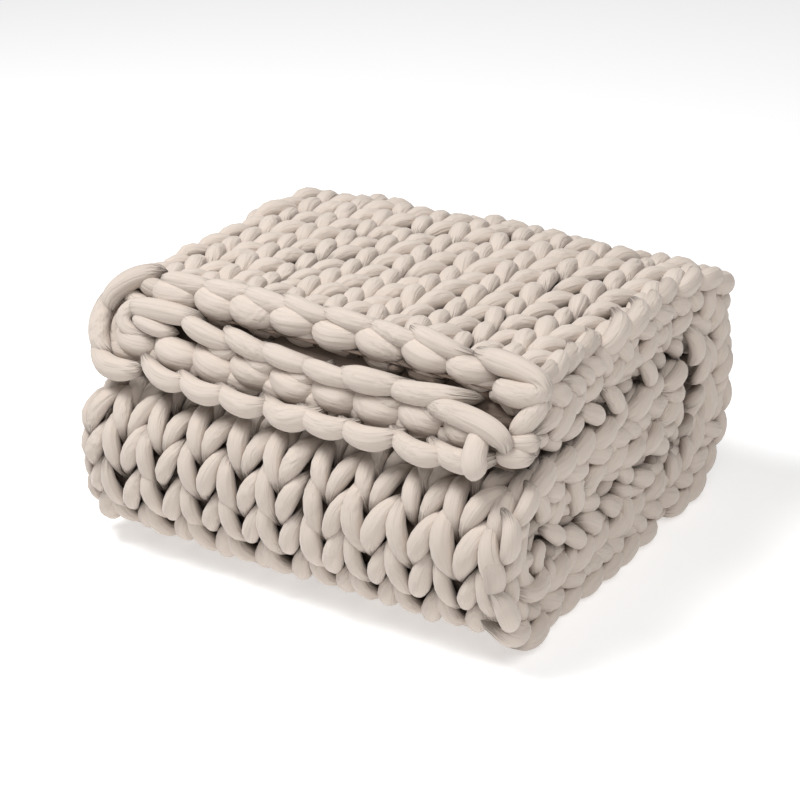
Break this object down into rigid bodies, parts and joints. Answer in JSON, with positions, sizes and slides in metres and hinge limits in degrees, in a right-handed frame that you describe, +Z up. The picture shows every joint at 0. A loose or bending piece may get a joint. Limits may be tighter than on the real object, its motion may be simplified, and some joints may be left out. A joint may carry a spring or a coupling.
{
  "type": "weighted blanket",
  "caption": "Chunky hand-knitted weighted blanket of thick stuffed cotton tube yarn, doubled across its width and wound into a flat stack that rests on its underside.",
  "frame": {"origin": "centre of the footprint, on the ground under the flat underside", "axes": "+X from the folded edge to the side edges of the cloth, along the longest extent; +Y from the flap to the back turn; +Z up, along the shortest extent"},
  "size_m": [0.493, 0.46, 0.258],
  "materials": {
    "cotton_knit": "matte"
  },
  "bodies": {
    "root": {"blanket": "cotton_knit"}
  },
  "joints": []
}
